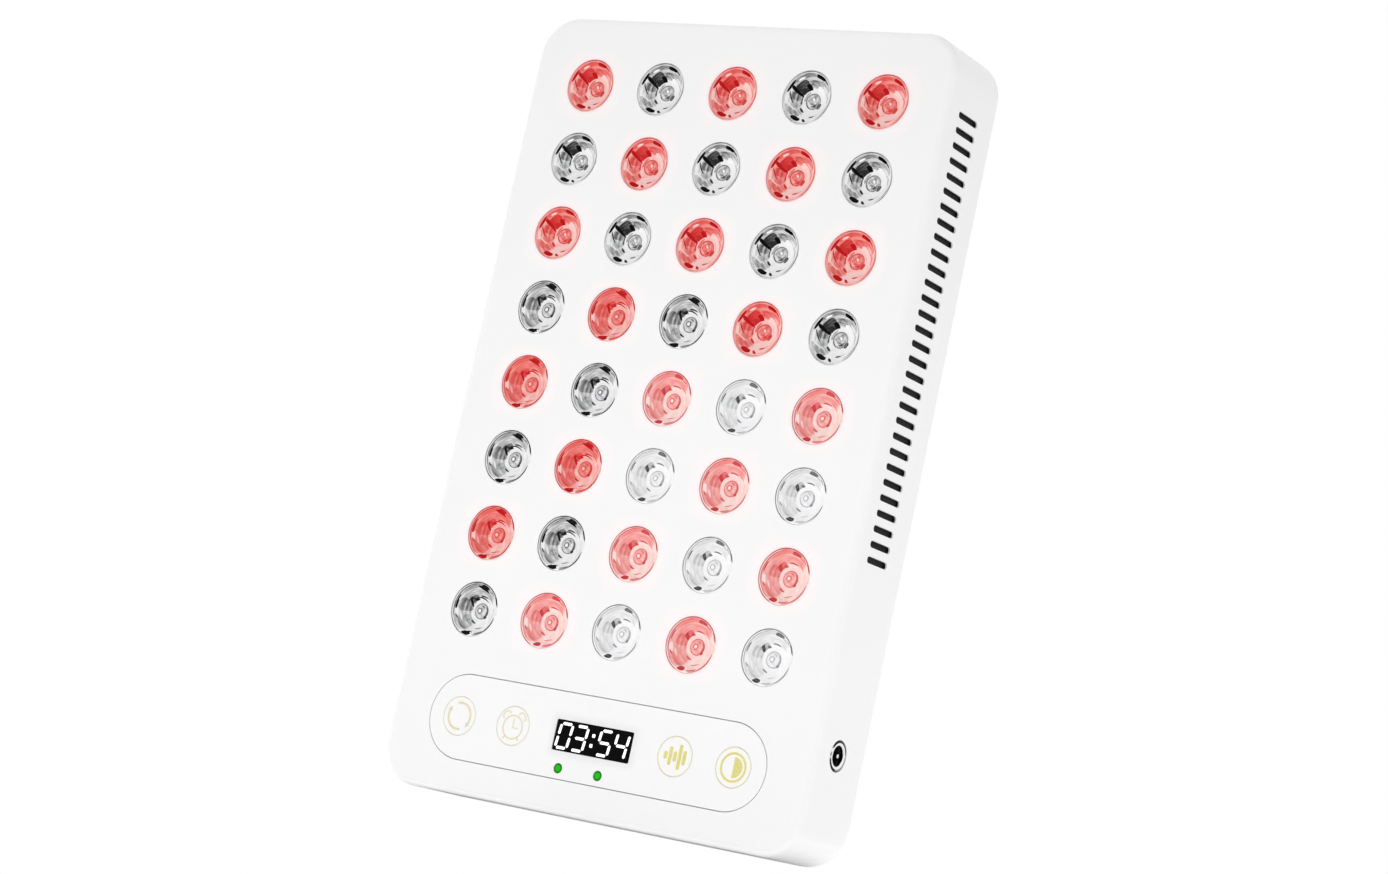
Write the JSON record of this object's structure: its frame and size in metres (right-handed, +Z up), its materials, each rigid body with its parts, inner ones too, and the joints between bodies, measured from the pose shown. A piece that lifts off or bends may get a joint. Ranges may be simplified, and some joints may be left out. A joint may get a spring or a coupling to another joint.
{
  "type": "led light therapy panel",
  "caption": "Upright white light therapy panel with round red and clear lenses, a key strip with a clock display, side vents and a fold-out rear stand.",
  "frame": {"origin": "middle of the lower side, on the surface that the panel stands on", "axes": "+Z up along the panel's height, +Y from the lit face to the back, +X to the viewer's right"},
  "size_m": [0.19, 0.036, 0.31],
  "materials": {
    "white_plastic": "fine satin white",
    "panel_white": "satin white overlay",
    "key_white": "satin white with a pale gold symbol",
    "lit_lens": "clear moulded lens lit red from behind",
    "clear_lens": "clear moulded lens, unlit",
    "black_window": "glossy black",
    "green_light": "lit green",
    "chrome": "bright plated ring",
    "steel": "plain ground pin",
    "aluminium": "plain extruded",
    "board_white": "white lacquered circuit board",
    "board_green": "green circuit board",
    "black_plastic": "matt black"
  },
  "bodies": {
    "housing": {"front_housing": "white_plastic", "rear_cover": "white_plastic", "control_panel": "panel_white", "display_window": "black_window", "display_module": "black_window", "indicator_left": "green_light", "indicator_right": "green_light", "led_board": "board_white", "control_board": "board_green", "heat_sink": "aluminium", "dc_jack": "chrome", "stand_pin": "steel", "fan_frame": "black_plastic", "lens_r1_c1": "lit_lens", "lens_r1_c2": "clear_lens", "lens_r1_c3": "lit_lens", "lens_r1_c4": "clear_lens", "lens_r1_c5": "lit_lens", "lens_r2_c1": "clear_lens", "lens_r2_c2": "lit_lens", "lens_r2_c3": "clear_lens", "lens_r2_c4": "lit_lens", "lens_r2_c5": "clear_lens", "lens_r3_c1": "lit_lens", "lens_r3_c2": "clear_lens", "lens_r3_c3": "lit_lens", "lens_r3_c4": "clear_lens", "lens_r3_c5": "lit_lens", "lens_r4_c1": "clear_lens", "lens_r4_c2": "lit_lens", "lens_r4_c3": "clear_lens", "lens_r4_c4": "lit_lens", "lens_r4_c5": "clear_lens", "lens_r5_c1": "lit_lens", "lens_r5_c2": "clear_lens", "lens_r5_c3": "lit_lens", "lens_r5_c4": "clear_lens", "lens_r5_c5": "lit_lens", "lens_r6_c1": "clear_lens", "lens_r6_c2": "lit_lens", "lens_r6_c3": "clear_lens", "lens_r6_c4": "lit_lens", "lens_r6_c5": "clear_lens", "lens_r7_c1": "lit_lens", "lens_r7_c2": "clear_lens", "lens_r7_c3": "lit_lens", "lens_r7_c4": "clear_lens", "lens_r7_c5": "lit_lens", "lens_r8_c1": "clear_lens", "lens_r8_c2": "lit_lens", "lens_r8_c3": "clear_lens", "lens_r8_c4": "lit_lens", "lens_r8_c5": "clear_lens"},
    "key_mode": {"key_mode": "key_white"},
    "key_timer": {"key_timer": "key_white"},
    "key_pulse": {"key_pulse": "key_white"},
    "key_brightness": {"key_brightness": "key_white"},
    "fan_rotor": {"fan_rotor": "black_plastic"},
    "kickstand": {"kickstand": "white_plastic"}
  },
  "joints": [
    {"name": "key_mode_press", "type": "slide", "parent": "housing", "child": "key_mode", "axis": [0, 1, 0], "range_m": [0, 0.0005], "stiffness_N_per_m": 400, "springref_m": -0.0008},
    {"name": "key_timer_press", "type": "slide", "parent": "housing", "child": "key_timer", "axis": [0, 1, 0], "range_m": [0, 0.0005], "stiffness_N_per_m": 400, "springref_m": -0.0008},
    {"name": "key_pulse_press", "type": "slide", "parent": "housing", "child": "key_pulse", "axis": [0, 1, 0], "range_m": [0, 0.0005], "stiffness_N_per_m": 400, "springref_m": -0.0008},
    {"name": "key_brightness_press", "type": "slide", "parent": "housing", "child": "key_brightness", "axis": [0, 1, 0], "range_m": [0, 0.0005], "stiffness_N_per_m": 400, "springref_m": -0.0008},
    {"name": "fan_spin", "type": "hinge", "parent": "housing", "child": "fan_rotor", "pos_m": [0, 0.0107, 0.22], "axis": [0, 1, 0], "continuous": true},
    {"name": "stand_fold", "type": "hinge", "parent": "housing", "child": "kickstand", "pos_m": [0, 0.0153, 0.15], "axis": [1, 0, 0], "range_deg": [0, 50]}
  ]
}
